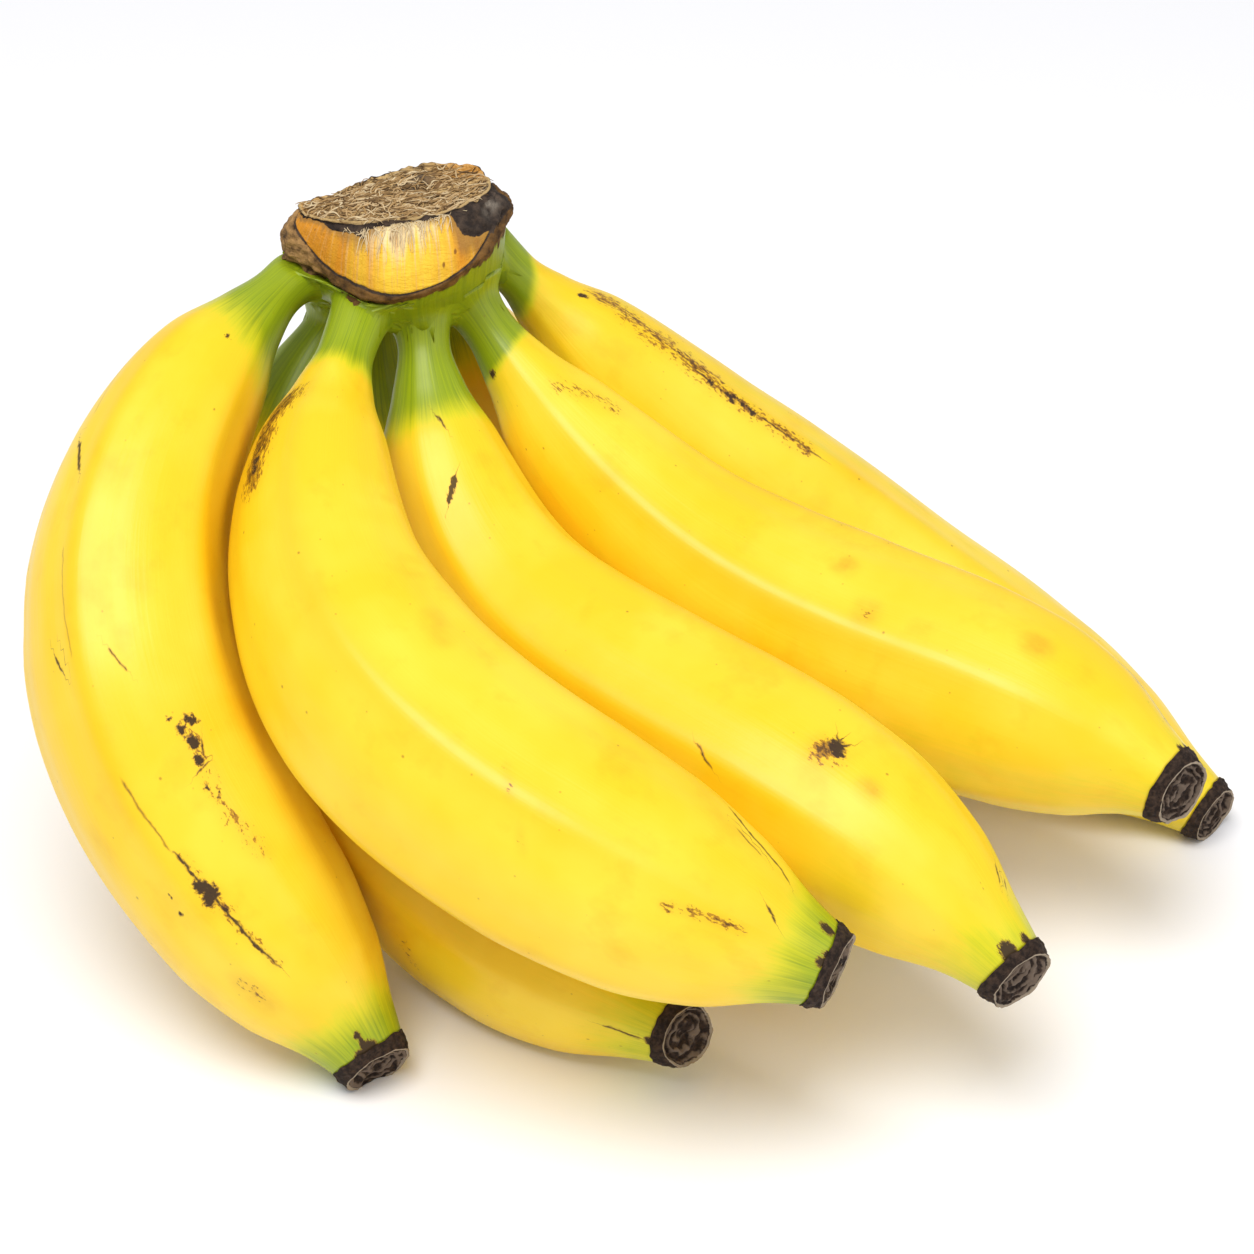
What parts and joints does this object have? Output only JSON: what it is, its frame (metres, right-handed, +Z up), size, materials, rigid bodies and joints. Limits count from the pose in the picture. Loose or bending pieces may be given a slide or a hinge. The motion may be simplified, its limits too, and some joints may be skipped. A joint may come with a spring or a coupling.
{
  "type": "bunch of bananas",
  "caption": "Bunch of ripe bananas lying on its lower fingers, two curved rows joined at one cut crown.",
  "frame": {"origin": "on the floor, under the middle of the bunch seen from above", "axes": "+Z up, -Y towards the side the bunch is looked at from, +X to the right, with the crown at -X"},
  "size_m": [0.2286, 0.2136, 0.1228],
  "materials": {
    "peel": "satin yellow peel, green at the necks",
    "crown": "dry, fibrous, matt brown",
    "flower_end": "dry, dark, matt"
  },
  "bodies": {
    "root": {"crown": "crown", "finger_1": "peel", "finger_2": "peel", "finger_3": "peel", "finger_4": "peel", "finger_5": "peel", "finger_6": "peel", "finger_7": "peel", "finger_8": "peel", "flower_end_1": "flower_end", "flower_end_2": "flower_end", "flower_end_3": "flower_end", "flower_end_4": "flower_end", "flower_end_5": "flower_end", "flower_end_6": "flower_end", "flower_end_7": "flower_end", "flower_end_8": "flower_end"}
  },
  "joints": []
}
